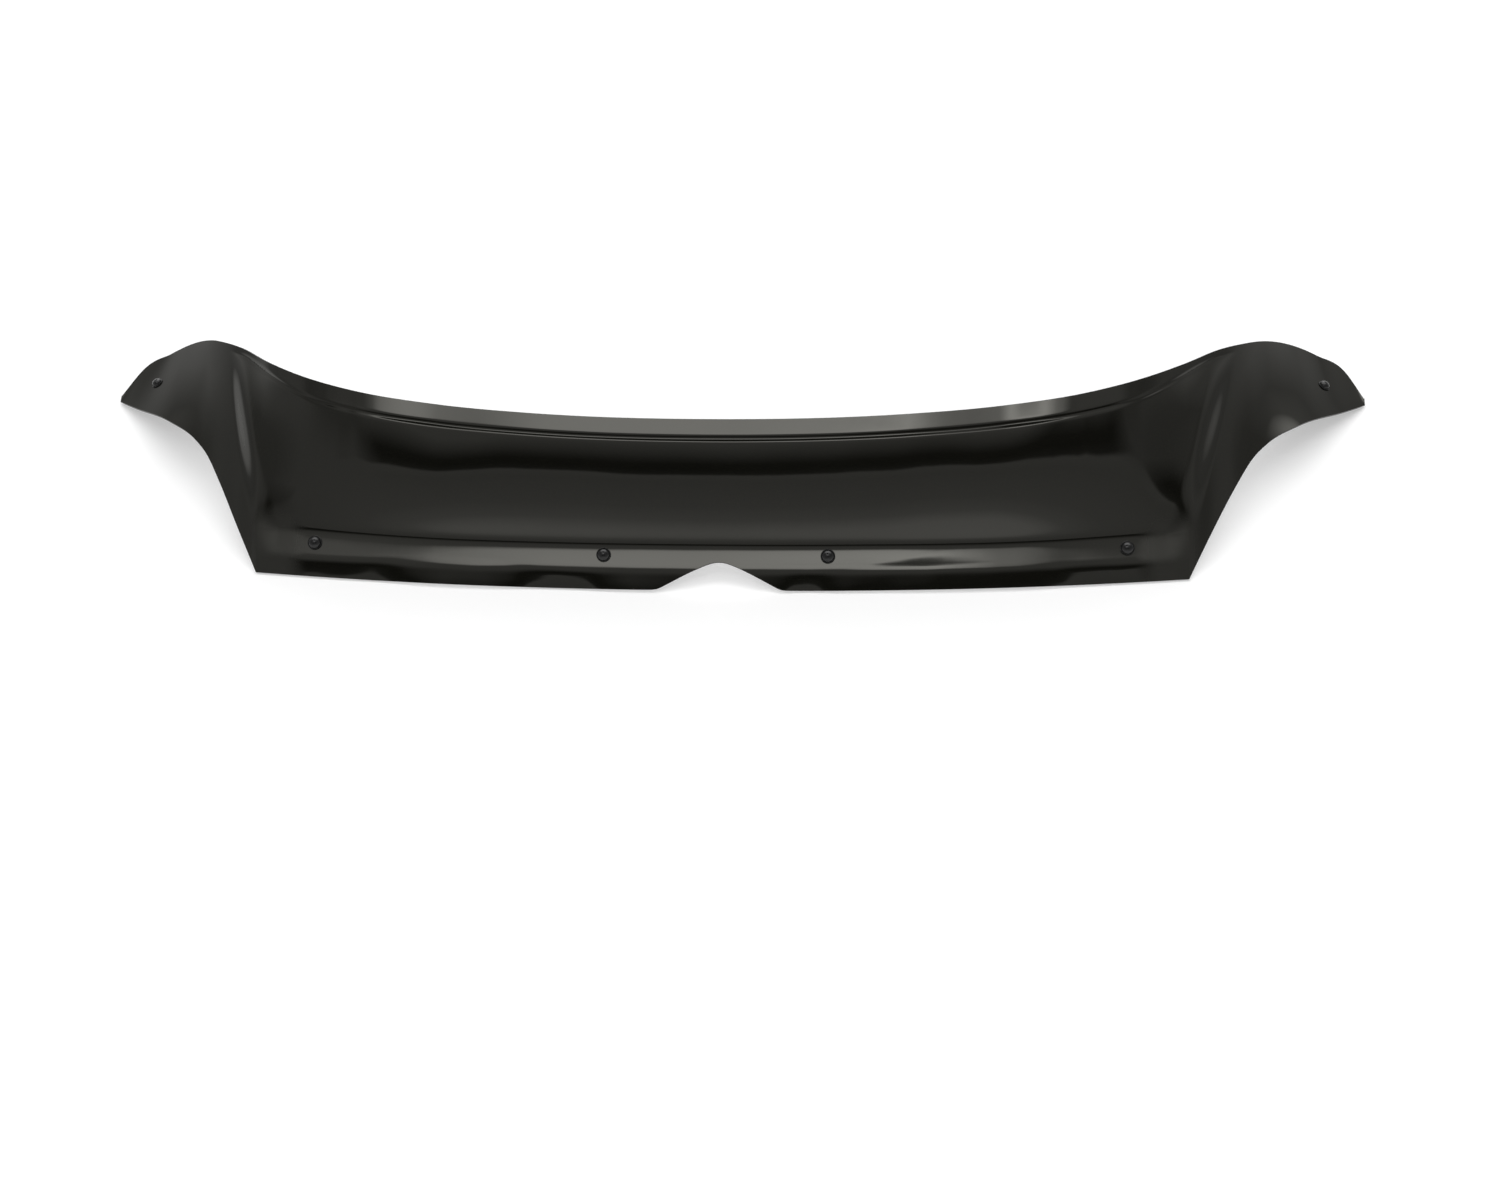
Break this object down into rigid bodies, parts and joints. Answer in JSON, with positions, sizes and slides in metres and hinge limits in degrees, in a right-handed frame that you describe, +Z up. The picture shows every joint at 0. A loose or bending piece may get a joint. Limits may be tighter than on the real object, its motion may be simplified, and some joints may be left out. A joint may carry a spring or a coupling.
{
  "type": "hood bug deflector",
  "caption": "Dark smoked acrylic wind and insect deflector for a van hood, a formed sheet with swept wings and capped screw fixings.",
  "frame": {"origin": "below the middle of the part, on the surface that its rim lies on", "axes": "+X to the viewer's right along the width, -Y to the front of the vehicle, +Z up as the part lies at rest"},
  "size_m": [1.4328, 0.3716, 0.1503],
  "materials": {
    "acrylic": "polished smoked acrylic",
    "cap": "moulded black, semi-gloss",
    "collar": "moulded black",
    "screw": "zinc plated",
    "spacer": "matte black rubber",
    "clip": "phosphated spring steel"
  },
  "bodies": {
    "root": {"deflector_shell": "acrylic", "wing_left_cap": "cap", "wing_left_collar": "collar", "wing_left_screw": "screw", "wing_left_spacer": "spacer", "wing_left_clip": "clip", "outer_left_cap": "cap", "outer_left_collar": "collar", "outer_left_screw": "screw", "outer_left_spacer": "spacer", "outer_left_clip": "clip", "inner_left_cap": "cap", "inner_left_collar": "collar", "inner_left_screw": "screw", "inner_left_spacer": "spacer", "inner_left_clip": "clip", "inner_right_cap": "cap", "inner_right_collar": "collar", "inner_right_screw": "screw", "inner_right_spacer": "spacer", "inner_right_clip": "clip", "outer_right_cap": "cap", "outer_right_collar": "collar", "outer_right_screw": "screw", "outer_right_spacer": "spacer", "outer_right_clip": "clip", "wing_right_cap": "cap", "wing_right_collar": "collar", "wing_right_screw": "screw", "wing_right_spacer": "spacer", "wing_right_clip": "clip"}
  },
  "joints": []
}
